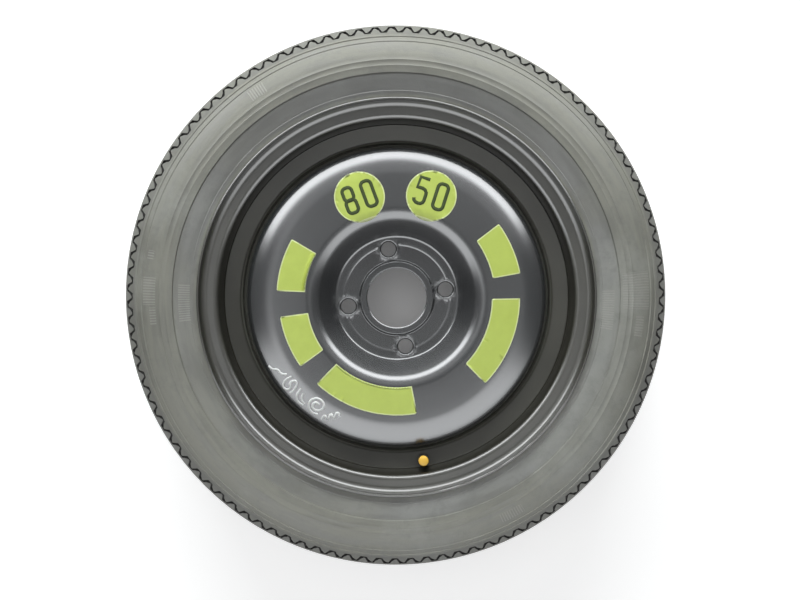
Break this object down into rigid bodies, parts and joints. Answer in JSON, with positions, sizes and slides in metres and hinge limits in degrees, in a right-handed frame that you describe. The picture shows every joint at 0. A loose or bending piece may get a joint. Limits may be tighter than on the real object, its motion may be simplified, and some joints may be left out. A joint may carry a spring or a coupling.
{
  "type": "temporary spare wheel",
  "caption": "Narrow temporary spare tyre on a black pressed steel wheel with a drop-centre rim, lying flat with its outer face up.",
  "frame": {"origin": "centre of the hub bore on the face that bolts to the hub", "axes": "+Z along the axle, out of the wheel's outer face; +X towards the right of the outer face as pictured"},
  "size_m": [0.581, 0.581, 0.126],
  "materials": {
    "tyre_rubber": "dusty matt",
    "black_paint": "semi-gloss",
    "valve_rubber": "matt",
    "brass": "turned",
    "gasket_plastic": "matt",
    "spring_steel": "drawn wire",
    "cap_plastic": "satin",
    "label_vinyl": "satin vinyl"
  },
  "bodies": {
    "wheel": {"tyre": "tyre_rubber", "rim": "black_paint", "wheel_disc": "black_paint", "weld_beads": "black_paint", "valve_body": "valve_rubber", "valve_stem": "brass", "core_barrel": "brass", "core_gasket": "gasket_plastic", "core_spring": "spring_steel", "label_round_left": "label_vinyl", "label_round_right": "label_vinyl", "label_upper_right": "label_vinyl", "label_upper_left": "label_vinyl", "label_lower_left": "label_vinyl", "label_bottom": "label_vinyl", "label_lower_right": "label_vinyl"},
    "cap": {"valve_cap": "cap_plastic"},
    "core_plunger": {"core_pin": "brass", "core_cup_seal": "valve_rubber"}
  },
  "joints": [
    {"name": "valve_cap_lift", "type": "slide", "parent": "wheel", "child": "cap", "axis": [-0.036, 0.2221, 0.9744], "range_m": [0, 0.02]},
    {"name": "valve_pin_press", "type": "slide", "parent": "wheel", "child": "core_plunger", "axis": [0.036, -0.2221, -0.9744], "range_m": [0, 0.0012], "stiffness_N_per_m": 800, "deforming": ["core_spring"]}
  ]
}
